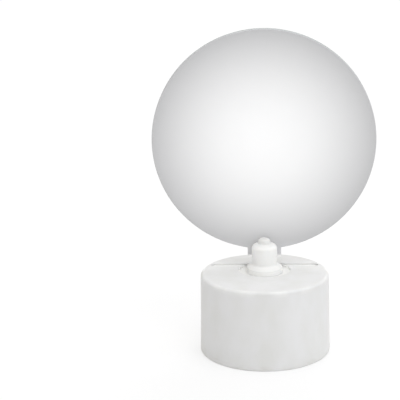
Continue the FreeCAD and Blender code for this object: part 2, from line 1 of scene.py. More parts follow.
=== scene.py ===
# %% [markdown]
# # A small acrylic lamp, dressed for its picture
#
# The lamp is a round acrylic plate on a tongue, pushed into the slotted roof of a short white base, with
# a stubby milky flame in front of it. The frame that is loaded here holds every piece at its real size
# and place, in metres, so no shape has to be made again. This lesson gives each piece the finish of its
# real material, with a relief that is too fine to model, and sets up a plain white room round the lamp.

# %% Load the frame
import math

import bpy
from mathutils import Matrix, Vector


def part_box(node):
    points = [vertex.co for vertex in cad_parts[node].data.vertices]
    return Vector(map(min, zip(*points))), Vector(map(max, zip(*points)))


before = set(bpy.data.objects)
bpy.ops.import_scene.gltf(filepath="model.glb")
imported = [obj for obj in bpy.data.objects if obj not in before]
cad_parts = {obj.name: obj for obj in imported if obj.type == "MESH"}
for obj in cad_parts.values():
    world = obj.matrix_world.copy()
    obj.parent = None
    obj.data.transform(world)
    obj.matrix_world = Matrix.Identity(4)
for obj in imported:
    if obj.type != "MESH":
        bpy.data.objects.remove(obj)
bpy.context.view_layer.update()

MM = 0.001

# %% [markdown]
# ## Colours
#
# A colour read off a real piece or a screen is an sRGB hex value, but a shader works in linear light. A
# hex value put straight on a shader would look washed out. So every colour below is written in hex, which
# is easy to compare with the real thing, and one function turns it into linear light.

# %% From hex to linear light
SRGB_KNEE = 0.04045           # up to here sRGB is a straight line, and above it a curve
SRGB_SLOPE = 12.92
SRGB_OFFSET = 0.055
SRGB_POWER = 2.4
OPAQUE = 1.0


def linear(hex_colour):
    """An sRGB hex colour as linear RGBA."""
    rgba = []
    for start in (1, 3, 5):
        channel = int(hex_colour[start:start + 2], 16) / 255
        if channel <= SRGB_KNEE:
            rgba.append(channel / SRGB_SLOPE)
        else:
            rgba.append(((channel + SRGB_OFFSET) / (1 + SRGB_OFFSET)) ** SRGB_POWER)
    return rgba + [OPAQUE]


print("the hex grey #808080 is", round(linear("#808080")[0], 3), "in linear light")

# %% [markdown]
# ## Materials as lists of nodes
#
# A finish could be painted on each piece by hand, but a moulded or rolled surface has the same grain all
# over. So each finish is worked out from the place on the piece, and its patterns keep their real size in
# millimetres. One function adds a node with its settings and links, so that each recipe below reads as a
# list of what the material is made of. The others start a material, join its last nodes to the shader,
# and put it on its pieces.

# %% Nodes, materials and pieces
def add_node(tree, kind, inputs=None, give=0, **settings):
    """Adds a node and gives back one of its outputs: the first, or the one that give names.

    An input that is given another node's output is linked to it, and any other input is set to the value.
    """
    node = tree.nodes.new(kind)
    for name, value in settings.items():
        setattr(node, name, value)
    for name, value in (inputs or {}).items():
        if isinstance(value, bpy.types.NodeSocket):
            tree.links.new(value, node.inputs[name])
        else:
            node.inputs[name].default_value = value
    return node.outputs[give] if len(node.outputs) else None


def new_material(name, sockets):
    """A material with one Principled shader, whose own sockets hold what is the same all over the piece."""
    material = bpy.data.materials.new(name)
    material.use_nodes = True
    tree = material.node_tree
    shader = tree.nodes["Principled BSDF"]
    for socket, value in sockets.items():
        shader.inputs[socket].default_value = value
    return material, tree, shader, add_node(tree, "ShaderNodeTexCoord", give="Object")


def join(tree, shader, colour, rough, height=None, depth=0.0):
    """Joins colour and roughness to the shader, and a relief whose heights of 0 to 1 stand for the depth."""
    tree.links.new(colour, shader.inputs["Base Color"])
    tree.links.new(rough, shader.inputs["Roughness"])
    if height is not None:
        bump = add_node(tree, "ShaderNodeBump", {"Height": height, "Distance": depth, "Strength": 1.0})
        tree.links.new(bump, shader.inputs["Normal"])


dressed = set()


def dress(pieces, material):
    """Gives pieces of the frame their material, in place of the plain one that they came with."""
    for piece in pieces:
        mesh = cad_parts[piece].data
        mesh.materials.clear()
        mesh.materials.append(material)
    dressed.update(pieces)
    print(material.name, "on", ", ".join(pieces))


print("pieces to dress:", len(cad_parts))

# %% [markdown]
# ## The acrylic plate and its places
#
# The plate is cut in one piece from a 3 mm sheet of cast acrylic: a disc of 80 mm, and below it the
# tongue that goes down into the base. Its finish changes from place to place. It could be split into
# three materials, but then each border would have to follow the faces of the mesh. One material that
# knows the disc's centre and two heights puts the borders where they really are.

# %% Places on the plate
DISC_RADIUS = 40.0 * MM
COAT_END = 33.3 * MM          # above the table, a little above the roof: below it the tongue stays clear
COAT_FADE = 0.6 * MM
plate_low, plate_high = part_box("acrylic_panel")
disc_centre = Vector((0, (plate_low[1] + plate_high[1]) / 2, plate_high[2] - DISC_RADIUS))
TONGUE_TOP = disc_centre[2] - DISC_RADIUS
print("disc centre:", [round(v / MM, 2) for v in disc_centre], "mm")
print("top of the tongue:", round(TONGUE_TOP / MM, 2), "mm")

# %% [markdown]
# ## The satin coat
#
# A satin coat makes both faces a soft white, so that they glow when light comes up through the tongue. It
# is whitest in the middle of the disc and greyer towards the rim. The tongue is painted lighter than the
# rim: painted light that makes up for the shade of the flame in front of it, so that it shows about as grey
# as the rim. The grey goes with the square of the distance from the centre, which keeps the middle even and
# brings the change in near the rim, as the eye sees it. A faint haze keeps the white from being perfectly
# flat.

# %% The coat's colour
# A Mix node for colours has the same socket names as one for numbers, so its sockets are known by index.
SHARE, FIRST, SECOND, MIXED = 0, 6, 7, 2
FADE_POWER = 2.0
HAZE_SIZE = 9.0 * MM
HAZE_SHARE = 0.02
# Below the first height the tongue fades to a lighter colour, fully lighter below the second: painted light
# against the flame's shade
TONGUE_PAINTED_LIGHT_START = TONGUE_TOP + 4.0 * MM
TONGUE_PAINTED_LIGHT_FULL = TONGUE_TOP - 1.0 * MM


def coat_colour(tree, place, height):
    """The coat on the disc and on the tongue, before the edge and the clear part are laid over it."""
    off_centre = add_node(tree, "ShaderNodeVectorMath", {0: place, 1: disc_centre}, operation="SUBTRACT")
    in_plane = add_node(tree, "ShaderNodeVectorMath", {0: off_centre, 1: (1, 0, 1)}, operation="MULTIPLY")
    distance = add_node(tree, "ShaderNodeVectorMath", {0: in_plane}, "Value", operation="LENGTH")
    outwards = add_node(tree, "ShaderNodeMath", {0: distance, 1: DISC_RADIUS}, operation="DIVIDE")
    grey = add_node(tree, "ShaderNodeMath", {0: outwards, 1: FADE_POWER}, operation="POWER", use_clamp=True)
    coat = add_node(tree, "ShaderNodeMix", {
        SHARE: grey, FIRST: linear("#FFFFFF"), SECOND: linear("#C1C1C2")}, MIXED, data_type="RGBA")
    haze = add_node(tree, "ShaderNodeTexNoise", {"Vector": place, "Scale": 1 / HAZE_SIZE})
    haze = add_node(tree, "ShaderNodeMapRange", {"Value": haze, "To Max": HAZE_SHARE})
    coat = add_node(tree, "ShaderNodeMix", {
        SHARE: haze, FIRST: coat, SECOND: linear("#E6E6E7")}, MIXED, data_type="RGBA")
    # painted light: the tongue is made lighter where the flame in front of it shades it
    tongue = add_node(tree, "ShaderNodeMapRange", {
        "Value": height, "From Min": TONGUE_PAINTED_LIGHT_FULL, "From Max": TONGUE_PAINTED_LIGHT_START,
        "To Min": 1.0, "To Max": 0.0})
    return add_node(tree, "ShaderNodeMix", {
        SHARE: tongue, FIRST: coat, SECOND: linear("#D3D3D5")}, MIXED, data_type="RGBA")


# the tongue's lighter colour is painted light
print("the tongue's grey starts at", round(TONGUE_PAINTED_LIGHT_START / MM, 1), "mm")

# %% [markdown]
# ## The cut edge and the clear tongue
#
# The cutter leaves the edge of the sheet matt and a little darker than the faces, with fine lines
# straight across the sheet. The faces look along Y and the edge never does, so the direction of the
# surface tells one from the other. Below the end of the coat the tongue is polished and clear: light
# passes through it there, which is the shader's Transmission Weight, and its shine is sharp.
#
# The coat's own grain is some 0.02 mm wide and the cutter's lines are 0.1 mm apart, too fine to show from
# this far. They are drawn coarser, at the sizes below.

# %% The whole plate
EDGE_SIDEWAYS = 0.35          # a surface that looks along Y less than this is all edge
FACE_SIDEWAYS = 0.80          # and one that does more than this is all face
EDGE_GREY_SHARE = 0.9
SATIN_GRAIN = 0.35 * MM
SATIN_ROUGHNESS = (0.40, 0.52)
EDGE_ROUGHNESS = 0.6
CLEAR_ROUGHNESS = 0.03
CUT_LINE_WIDTH = 0.22 * MM
CUT_LINE_STRETCH = 60         # how many times longer than wide a line is
CUT_LINE_DEPTH = 0.02 * MM
GRAIN_TO_LINES = 0.06         # the coat's relief, as a share of the lines' depth


def cut_edge(tree):
    """1 on the cut edge of the sheet and 0 on its faces."""
    normal = add_node(tree, "ShaderNodeNewGeometry", give="Normal")
    along_y = add_node(tree, "ShaderNodeSeparateXYZ", {"Vector": normal}, "Y")
    along_y = add_node(tree, "ShaderNodeMath", {0: along_y}, operation="ABSOLUTE")
    return add_node(tree, "ShaderNodeMapRange", {
        "Value": along_y, "From Min": EDGE_SIDEWAYS, "From Max": FACE_SIDEWAYS,
        "To Min": 1.0, "To Max": 0.0})


def satin_acrylic():
    """Cast acrylic: a soft broad shine on the coat, a dull edge, and a sharp shine on the clear tongue."""
    material, tree, shader, place = new_material(
        "satin coated acrylic, matt cut edge", {"IOR": 1.49, "Specular IOR Level": 0.4})
    height = add_node(tree, "ShaderNodeSeparateXYZ", {"Vector": place}, "Z")
    on_edge = cut_edge(tree)
    clear = add_node(tree, "ShaderNodeMapRange", {
        "Value": height, "From Min": COAT_END - COAT_FADE / 2, "From Max": COAT_END + COAT_FADE / 2,
        "To Min": 1.0, "To Max": 0.0})
    tree.links.new(clear, shader.inputs["Transmission Weight"])

    edge_grey = add_node(tree, "ShaderNodeMapRange", {"Value": on_edge, "To Max": EDGE_GREY_SHARE})
    colour = add_node(tree, "ShaderNodeMix", {
        SHARE: edge_grey, FIRST: coat_colour(tree, place, height), SECOND: linear("#A8ACAC")},
        MIXED, data_type="RGBA")
    colour = add_node(tree, "ShaderNodeMix", {SHARE: clear, FIRST: colour, SECOND: linear("#FFFFFF")},
                      MIXED, data_type="RGBA")

    grain = add_node(tree, "ShaderNodeTexNoise", {"Vector": place, "Scale": 1 / SATIN_GRAIN})
    rough = add_node(tree, "ShaderNodeMapRange", {
        "Value": grain, "To Min": SATIN_ROUGHNESS[0], "To Max": SATIN_ROUGHNESS[1]})
    for share, value in ((on_edge, EDGE_ROUGHNESS), (clear, CLEAR_ROUGHNESS)):
        rough = add_node(tree, "ShaderNodeMapRange", {"Value": share, "To Min": rough, "To Max": value})

    across = add_node(tree, "ShaderNodeMapping", {"Vector": place, "Scale": (1, 1 / CUT_LINE_STRETCH, 1)})
    lines = add_node(tree, "ShaderNodeTexNoise", {"Vector": across, "Scale": 1 / CUT_LINE_WIDTH})
    grain = add_node(tree, "ShaderNodeMath", {0: grain, 1: GRAIN_TO_LINES}, operation="MULTIPLY")
    relief = add_node(tree, "ShaderNodeMath", {0: lines, 1: on_edge, 2: grain}, operation="MULTIPLY_ADD")
    join(tree, shader, colour, rough, relief, CUT_LINE_DEPTH)
    return material


dress(["acrylic_panel"], satin_acrylic())

# %% [markdown]
# ## Where the white mouldings change
#
# The base and the flame are moulded, and no moulding is one even white. Light that goes into milky
# plastic comes out again at thin walls and corners, so the well in the roof, its low wall and the groove
# are painted lighter than plain shading makes them: painted light. Fingers rub the rim smooth, and its
# rubbed patches are painted lighter too, a painted highlight. The table scuffs the foot.
#
# Such places could be painted on a picture that is wrapped round each piece. Here each is a share from 0
# to 1, worked out from two measures, height and distance from an upright axis, so it stays sharp from
# near and needs no picture.

# %% Shares by height and by distance
def by_height(tree, place, level, blur, below, above):
    """A share that goes from one value below the level to another above it, over the blur."""
    height = add_node(tree, "ShaderNodeSeparateXYZ", {"Vector": place}, "Z")
    return add_node(tree, "ShaderNodeMapRange", {
        "Value": height, "From Min": level - blur / 2, "From Max": level + blur / 2,
        "To Min": below, "To Max": above})


def by_distance(tree, place, axis, radius, blur, inside, outside):
    """A share that goes from one value inside an upright cylinder to another outside it, over the blur."""
    away = add_node(tree, "ShaderNodeVectorMath", {0: place, 1: axis}, operation="SUBTRACT")
    away = add_node(tree, "ShaderNodeVectorMath", {0: away, 1: (1, 1, 0)}, operation="MULTIPLY")
    distance = add_node(tree, "ShaderNodeVectorMath", {0: away}, "Value", operation="LENGTH")
    return add_node(tree, "ShaderNodeMapRange", {
        "Value": distance, "From Min": radius - blur / 2, "From Max": radius + blur / 2,
        "To Min": inside, "To Max": outside})


def where_all(tree, *shares):
    """1 only where all of the shares are 1."""
    overlap = shares[0]
    for share in shares[1:]:
        overlap = add_node(tree, "ShaderNodeMath", {0: overlap, 1: share}, operation="MULTIPLY")
    return overlap


shell_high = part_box("base_shell")[1]
ROOF_TOP = shell_high[2]
BASE_RADIUS = shell_high[0]
BASE_AXIS = Vector((0, 0, 0))
print("base:", round(BASE_RADIUS / MM, 2), "mm in radius, roof at", round(ROOF_TOP / MM, 2), "mm")

# %% [markdown]
# ## The well and the groove in the roof
#
# The flame stands in a shallow round well, and a groove as wide as the sheet crosses the roof on both
# sides of it. Both are real hollows in the shell's shape. Only the light inside the plastic is missing
# there, because a strong subsurface would also blur the crisp edges. So the hollows are painted lighter,
# painted light in place of it, from just below the roof down to the foot of the slot.

# %% Hollows in the roof
flame_low, flame_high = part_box("flame_diffuser")
COLLAR_RADIUS = (flame_high[0] - flame_low[0]) / 2
FLAME_AXIS = Vector((0, flame_low[1] + COLLAR_RADIUS, 0))
WELL_RADIUS = 9.3 * MM
WELL_WALL_HALF = 0.15 * MM    # half the width of the ring that holds the well's wall
WALL_BLUR = 0.1 * MM
HOLLOW_BLUR = 0.2 * MM
HOLLOW_TOP = ROOF_TOP - 0.15 * MM
HOLLOW_FOOT = ROOF_TOP - 10.5 * MM
HOLLOW_FOOT_BLUR = 3.0 * MM
GROOVE_HALF = 1.65 * MM       # half the groove's width, and a little over
ROOF_FLAT_RADIUS = BASE_RADIUS - 2.5 * MM
ROOF_BLUR = 0.4 * MM


def hollow(tree, place):
    """1 from just below the roof down to the foot of the slot, and 0 elsewhere."""
    return where_all(tree, by_height(tree, place, HOLLOW_TOP, HOLLOW_BLUR, 1.0, 0.0),
                     by_height(tree, place, HOLLOW_FOOT, HOLLOW_FOOT_BLUR, 0.0, 1.0))


# The well, its wall and the groove are the places where the shell is painted lighter: painted light.
def well(tree, place):
    """The well in the roof, with its floor and the holes in it."""
    inside = by_distance(tree, place, FLAME_AXIS, WELL_RADIUS, HOLLOW_BLUR, 1.0, 0.0)
    return where_all(tree, inside, hollow(tree, place))


def well_wall(tree, place):
    """The low wall round the well, painted lighter: painted light for the light that comes through the milky
    edge.
    """
    inside = by_distance(tree, place, FLAME_AXIS, WELL_RADIUS + WELL_WALL_HALF, WALL_BLUR, 1.0, 0.0)
    outside = by_distance(tree, place, FLAME_AXIS, WELL_RADIUS - WELL_WALL_HALF, WALL_BLUR, 0.0, 1.0)
    return where_all(tree, inside, outside, hollow(tree, place))


def groove(tree, place):
    """The groove and the slot, which follow the sheet across the roof."""
    across = add_node(tree, "ShaderNodeSeparateXYZ", {"Vector": place}, "Y")
    off_sheet = add_node(tree, "ShaderNodeMath", {0: across, 1: disc_centre[1]}, operation="SUBTRACT")
    off_sheet = add_node(tree, "ShaderNodeMath", {0: off_sheet}, operation="ABSOLUTE")
    in_line = add_node(tree, "ShaderNodeMapRange", {
        "Value": off_sheet, "From Min": GROOVE_HALF - HOLLOW_BLUR / 2,
        "From Max": GROOVE_HALF + HOLLOW_BLUR / 2, "To Min": 1.0, "To Max": 0.0})
    outside_well = by_distance(tree, place, FLAME_AXIS, WELL_RADIUS, HOLLOW_BLUR, 0.0, 1.0)
    on_roof = by_distance(tree, place, BASE_AXIS, ROOF_FLAT_RADIUS, ROOF_BLUR, 1.0, 0.0)
    return where_all(tree, in_line, outside_well, on_roof, hollow(tree, place))


print("flame's axis:", [round(v / MM, 2) for v in FLAME_AXIS], "mm")
print("hollows from", round(HOLLOW_TOP / MM, 2), "mm down to", round(HOLLOW_FOOT / MM, 2), "mm")

# %% [markdown]
# ## The rubbed rim with its painted highlight, and the scuffed foot
#
# A lamp that is picked up by its base loses a little of its grain round the roof's rounded rim, in
# patches, and these patches are also painted lighter, a painted highlight on the rim. Its foot gathers faint
# grey scuffs that run round it. A ring made from distance and height says where, and a noise breaks each
# ring into patches. Without them the base looks like a drawing of a base.

# %% Signs of use
RIM_START = BASE_RADIUS - 1.6 * MM
RIM_START_BLUR = 0.8 * MM
RIM_BOTTOM = ROOF_TOP - 1.6 * MM
RIM_BOTTOM_BLUR = 1.2 * MM
RUBBED_HIGHLIGHT_PATCH = 6.0 * MM
RUBBED_HIGHLIGHT_NOISE = (0.40, 0.65)   # the noise between which a patch fades in
RUBBED_HIGHLIGHT_SHARE = 0.5
FOOT_START = BASE_RADIUS - 2.5 * MM
FOOT_START_BLUR = 1.0 * MM
FOOT_TOP = 1.6 * MM
FOOT_TOP_BLUR = 1.6 * MM
SCUFF_HEIGHT = 1.2 * MM
SCUFF_STRETCH = 3             # how many times longer than high a scuff is
SCUFF_DETAIL = 4.0
SCUFF_NOISE = (0.45, 0.70)
SCUFF_SHARE = 0.6


def rubbed_rim_with_painted_highlight(tree, place):
    """Patches of the roof's rounded rim, where fingers have rubbed the grain smooth, painted lighter: a
    painted highlight.
    """
    noise = add_node(tree, "ShaderNodeTexNoise", {"Vector": place, "Scale": 1 / RUBBED_HIGHLIGHT_PATCH})
    patches = add_node(tree, "ShaderNodeMapRange", {
        "Value": noise, "From Min": RUBBED_HIGHLIGHT_NOISE[0], "From Max": RUBBED_HIGHLIGHT_NOISE[1], "To Max": RUBBED_HIGHLIGHT_SHARE})
    return where_all(tree, by_distance(tree, place, BASE_AXIS, RIM_START, RIM_START_BLUR, 0.0, 1.0),
                     by_height(tree, place, RIM_BOTTOM, RIM_BOTTOM_BLUR, 0.0, 1.0), patches)


def scuffed_foot(tree, place):
    """Faint grey scuffs round the foot, a little rougher than the plastic."""
    drawn_out = add_node(tree, "ShaderNodeMapping", {
        "Vector": place, "Scale": (1 / SCUFF_STRETCH, 1 / SCUFF_STRETCH, 1)})
    noise = add_node(tree, "ShaderNodeTexNoise", {
        "Vector": drawn_out, "Scale": 1 / SCUFF_HEIGHT, "Detail": SCUFF_DETAIL})
    scuffs = add_node(tree, "ShaderNodeMapRange", {
        "Value": noise, "From Min": SCUFF_NOISE[0], "From Max": SCUFF_NOISE[1], "To Max": SCUFF_SHARE})
    return where_all(tree, by_distance(tree, place, BASE_AXIS, FOOT_START, FOOT_START_BLUR, 0.0, 1.0),
                     by_height(tree, place, FOOT_TOP, FOOT_TOP_BLUR, 1.0, 0.0), scuffs)


# above this height the rim's rubbed patches also carry a painted highlight
print("rubbed above", round(RIM_BOTTOM / MM, 2), "mm, scuffed below", round(FOOT_TOP / MM, 2), "mm")

# %% [markdown]
# ## One recipe for all the mouldings
#
# All of these pieces are injection moulded. The mould's surface was spark eroded and then stoned, which
# leaves a fine, even grain in the plastic. Its real grains are about 0.05 mm wide, too fine to show from
# this far, so they are drawn 0.30 to 0.45 mm wide. Where the melt flowed in and cooled, the plastic is a
# shade warmer or cooler over a few millimetres, and these streaks are longer upwards, the way that it
# filled the mould.
#
# The recipe takes the base colour and its second shade, and then lays the colours of the special places
# over them. Most of these colours are painted light and painted shade, and the foot's is the grey of scuffs.

# %% Moulded plastic
FLOW_SIZE = 7.0 * MM
FLOW_STRETCH = 1.8
FLOW_NOISE = (0.35, 0.70)     # the noise between which one shade turns into the other
GRAIN_ROUGHNESS = 0.06        # how far the roughness swings to either side with the grain
FINE_DETAIL = 3.0             # the noise's octaves: each adds detail of half the size


def moulded(name, colour, shade, rough, grain_size, grain_depth, milkiness=None, tones_and_painted_light=()):
    """An injection moulding: an even, soft shine over a white that is never quite flat.

    Each of the tones is a special place, the colour laid there and how much rougher the surface is there.
    Except at the scuffed foot, these colours are painted light and painted shade.
    """
    sockets = {"IOR": 1.49, "Specular IOR Level": 0.2}
    sockets.update(milkiness or {})
    material, tree, shader, place = new_material(name, sockets)
    upwards = add_node(tree, "ShaderNodeMapping", {"Vector": place, "Scale": (1, 1, 1 / FLOW_STRETCH)})
    flow = add_node(tree, "ShaderNodeTexNoise", {
        "Vector": upwards, "Scale": 1 / FLOW_SIZE, "Detail": FINE_DETAIL})
    flow = add_node(tree, "ShaderNodeMapRange", {
        "Value": flow, "From Min": FLOW_NOISE[0], "From Max": FLOW_NOISE[1]})
    surface = add_node(tree, "ShaderNodeMix", {SHARE: flow, FIRST: linear(colour), SECOND: linear(shade)},
                       MIXED, data_type="RGBA")
    grain = add_node(tree, "ShaderNodeTexNoise", {
        "Vector": place, "Scale": 1 / grain_size, "Detail": FINE_DETAIL})
    roughness = add_node(tree, "ShaderNodeMapRange", {
        "Value": grain, "To Min": rough - GRAIN_ROUGHNESS, "To Max": rough + GRAIN_ROUGHNESS})
    for special_place, tint, rougher in tones_and_painted_light:
        share = special_place(tree, place)
        surface = add_node(tree, "ShaderNodeMix", {SHARE: share, FIRST: surface, SECOND: linear(tint)},
                           MIXED, data_type="RGBA")
        roughness = add_node(tree, "ShaderNodeMath", {0: share, 1: rougher, 2: roughness},
                             operation="MULTIPLY_ADD")
    join(tree, shader, surface, roughness, grain, grain_depth)
    return material


print("streaks of", round(FLOW_SIZE / MM, 1), "mm by", round(FLOW_SIZE * FLOW_STRETCH / MM, 1), "mm")

# %% [markdown]
# ## The shell of the base
#
# The shell is a cup of milky polypropylene, turned over. A little light sinks into it and comes out
# nearby, which softens its edges, so it has some subsurface. More would be truer to the plastic, but it
# also darkens the narrow gaps between pieces that touch, so it is kept small, and painted light in the
# hollows does the rest.

# %% Dress the shell
SINK_COLOURS = (1.0, 0.95, 0.9)      # red light goes a little farther through milky plastic than blue
# The well, the groove and the well's wall are painted lighter: painted light. The rim's lighter patches are
# a painted highlight, and the foot's grey is scuffs.
dress(["base_shell"], moulded(
    "milky polypropylene, fine moulded grain", "#E2E2E2", "#DDDDDB",
    rough=0.42, grain_size=0.45 * MM, grain_depth=0.010 * MM,
    milkiness={"Subsurface Weight": 0.3, "Subsurface Scale": 0.5 * MM, "Subsurface Radius": SINK_COLOURS},
    tones_and_painted_light=((well, "#E8E8E6", 0.0), (groove, "#F0F0EE", 0.0), (well_wall, "#FBFBF9", 0.0),
           (rubbed_rim_with_painted_highlight, "#EFEFED", -0.14), (scuffed_foot, "#CFCDC8", 0.10))))

# %% [markdown]
# ## The flame
#
# The flame is a hollow moulding over the light source, with thinner walls than the shell, so it looks
# whiter and more of the light sinks in. It comes from a polished mould and is smoother. Its tip is solid
# plastic above the hollow. The tip and the collar are painted a shade greyer, painted shade that tones
# down the light they catch from above, and the collar's thin side is painted lighter, painted light in
# place of the shadow at its foot.

# %% Dress the flame
TIP_START = flame_high[2] - 2.0 * MM
COLLAR_TOP = ROOF_TOP + 2.0 * MM
COLLAR_SIDE_TOP = ROOF_TOP + 0.7 * MM
SOFT_BLUR = 1.6 * MM
SIDE_BLUR = 0.3 * MM


def tip_with_painted_shade(tree, place):
    """The tip above the hollow, where the plastic is solid, painted greyer: painted shade."""
    return by_height(tree, place, TIP_START, SOFT_BLUR, 0.0, 1.0)


def collar(tree, place):
    """The flared collar, and the skirt above it, painted greyer: painted shade."""
    return by_height(tree, place, COLLAR_TOP, SOFT_BLUR, 1.0, 0.0)


def collar_side(tree, place):
    """The low upright side of the collar, painted lighter: painted light in place of the shadow at its foot.
    """
    return by_height(tree, place, COLLAR_SIDE_TOP, SIDE_BLUR, 1.0, 0.0)


# The tip's and the collar's tones are painted shade, and the collar side's tone is painted light.
dress(["flame_diffuser"], moulded(
    "milky polypropylene, polished mould", "#F4F4F3", "#F0F0ED",
    rough=0.38, grain_size=0.40 * MM, grain_depth=0.006 * MM,
    milkiness={"Subsurface Weight": 0.5, "Subsurface Scale": 0.8 * MM, "Subsurface Radius": SINK_COLOURS},
    tones_and_painted_light=((tip_with_painted_shade, "#DFDFDD", 0.0), (collar, "#EBEBE9", 0.0), (collar_side, "#F8F8F6", 0.0))))

# %% [markdown]
# ## The plate below, the battery door and the knob
#
# These come off the same kind of machine in another plastic, ABS, which is stiffer and opaque. The white
# plate and door have the coarser grain of a mould that was spark eroded and left so, which hides
# scratches on an underside and looks duller. The knob is black and smoother, because a finger has to
# slide it. No light sinks into them.

# %% Dress the plate, the door and the knob
dress(["base_plate", "battery_door"], moulded(
    "white ABS, spark eroded grain", "#DFDFDB", "#D8D7D2",
    rough=0.50, grain_size=0.45 * MM, grain_depth=0.020 * MM))
dress(["switch_knob"], moulded(
    "black ABS, moulded", "#1B1B1C", "#202021",
    rough=0.42, grain_size=0.30 * MM, grain_depth=0.006 * MM))

# %% [markdown]
# ## Steel, bronze and tinned copper
#
# None of the metal shows while the base is closed, but each is a real piece, and some come into view as
# the door opens. A metal's colour is its reflection, so Metallic is 1 and the IOR is left alone. What
# tells the metals apart is their tint and how they were made. Rolled strip has long fine lines the way
# that it went through the mill, and a drawn can has them round it, while a plated screw has none, only
# the fine crystals of the zinc.
#
# The real lines are some 0.02 mm wide, too fine to show, so they are drawn four times as coarse.

# %% Plated and rolled metal
TARNISH_SIZE = 2.5 * MM
TARNISH_SHARE = 0.6
ROLLING_LINE = 0.08 * MM
ZINC_CRYSTAL = 0.25 * MM
ROLLING_DEPTH = 0.003 * MM
LINES_SMOOTHER = 0.08         # how far the roughness falls and rises with the lines
LINES_ROUGHER = 0.10
NO_LINES = (1, 1, 1)          # how many times longer the lines are along X, Y and Z
UPRIGHT = (1, 1, 14)
SIDEWAYS = (14, 1, 1)
ROUND_THE_CAN = (1, 8, 8)


def rolled_metal(name, colour, tarnish, rough, longer, line_width=ROLLING_LINE):
    """Metal with a tint of its own, a shine drawn out along its fine lines, and a cloudy tarnish."""
    material, tree, shader, place = new_material(name, {"Metallic": 1.0})
    drawn_out = add_node(tree, "ShaderNodeMapping", {
        "Vector": place, "Scale": [1 / factor for factor in longer]})
    lines = add_node(tree, "ShaderNodeTexNoise", {"Vector": drawn_out, "Scale": 1 / line_width})
    cloud = add_node(tree, "ShaderNodeTexNoise", {"Vector": place, "Scale": 1 / TARNISH_SIZE})
    cloud = add_node(tree, "ShaderNodeMapRange", {"Value": cloud, "To Max": TARNISH_SHARE})
    surface = add_node(tree, "ShaderNodeMix", {SHARE: cloud, FIRST: linear(colour), SECOND: linear(tarnish)},
                       MIXED, data_type="RGBA")
    roughness = add_node(tree, "ShaderNodeMapRange", {
        "Value": lines, "To Min": rough - LINES_SMOOTHER, "To Max": rough + LINES_ROUGHER})
    join(tree, shader, surface, roughness, lines, ROLLING_DEPTH)
    return material


# Zinc is bluish and softly bright, nickel warm and glossier, tin a plain pale grey, and bronze golden.
dress(["plate_screws", "board_screws", "switch_screws"],
      rolled_metal("zinc plated steel", "#C9CBD0", "#B9BAB6", 0.30, NO_LINES, ZINC_CRYSTAL))
dress(["contact_negative", "contact_positive"],
      rolled_metal("nickel plated spring steel", "#D6D0C4", "#C6BFB1", 0.24, UPRIGHT))
dress(["led_anode_lead", "led_cathode_lead", "switch_terminals"],
      rolled_metal("tinned copper", "#D2D2D0", "#BDBCB8", 0.34, UPRIGHT))
dress(["button_cell_1", "button_cell_2", "button_cell_3"],
      rolled_metal("nickel plated steel can", "#D8D5CE", "#C8C4BB", 0.20, ROUND_THE_CAN))
dress(["switch_frame"], rolled_metal("nickel plated sheet steel", "#CFCFCC", "#BFBEBA", 0.32, SIDEWAYS))
dress(["switch_wiper"], rolled_metal("phosphor bronze strip", "#C79A62", "#B08650", 0.30, SIDEWAYS))

# %% [markdown]
# ## The switch's board and the wires
#
# The switch's board is punched from brown phenolic laminate, paper soaked in resin, and the two wires
# have an extruded sleeve of PVC. All are opaque, evenly coloured and slightly uneven, as anything that
# set from a liquid or a melt is. One grain moves their colour, shine and relief together, which is enough
# for such small pieces.

# %% Laminate and sleeves
UNEVENNESS = 0.4 * MM
UNEVEN_DEPTH = 0.01 * MM
SET_SMOOTHER = 0.05           # how far the roughness falls and rises with the unevenness
SET_ROUGHER = 0.08


def opaque_plastic(name, colour, shade, rough):
    """A hard or rubbery plastic with a dull, slightly uneven shine."""
    material, tree, shader, place = new_material(name, {"IOR": 1.5})
    grain = add_node(tree, "ShaderNodeTexNoise", {
        "Vector": place, "Scale": 1 / UNEVENNESS, "Detail": FINE_DETAIL})
    surface = add_node(tree, "ShaderNodeMix", {SHARE: grain, FIRST: linear(colour), SECOND: linear(shade)},
                       MIXED, data_type="RGBA")
    roughness = add_node(tree, "ShaderNodeMapRange", {
        "Value": grain, "To Min": rough - SET_SMOOTHER, "To Max": rough + SET_ROUGHER})
    join(tree, shader, surface, roughness, grain, UNEVEN_DEPTH)
    return material


dress(["switch_board"], opaque_plastic("brown phenolic laminate", "#6A4526", "#5C3A1E", 0.45))
dress(["switch_wire_red"], opaque_plastic("red PVC insulation", "#A81E19", "#9A1A16", 0.40))
dress(["switch_wire_black"], opaque_plastic("black PVC insulation", "#1A1A1B", "#232324", 0.40))

# %% [markdown]
# ## The circuit board
#
# The board is woven glass cloth in resin, under a glossy green lacquer. The cloth shows through as a
# faint chequer, half a millimetre from thread to thread. It could be a Wave texture in each direction,
# but the product of two sines, one along X and one along Y, is the weave itself: high where the threads
# cross one way and low where they cross the other.

# %% Dress the circuit board
THREAD_PITCH = 0.5 * MM
WEAVE_DEPTH = 0.008 * MM
LACQUER_ROUGHNESS = (0.22, 0.30)


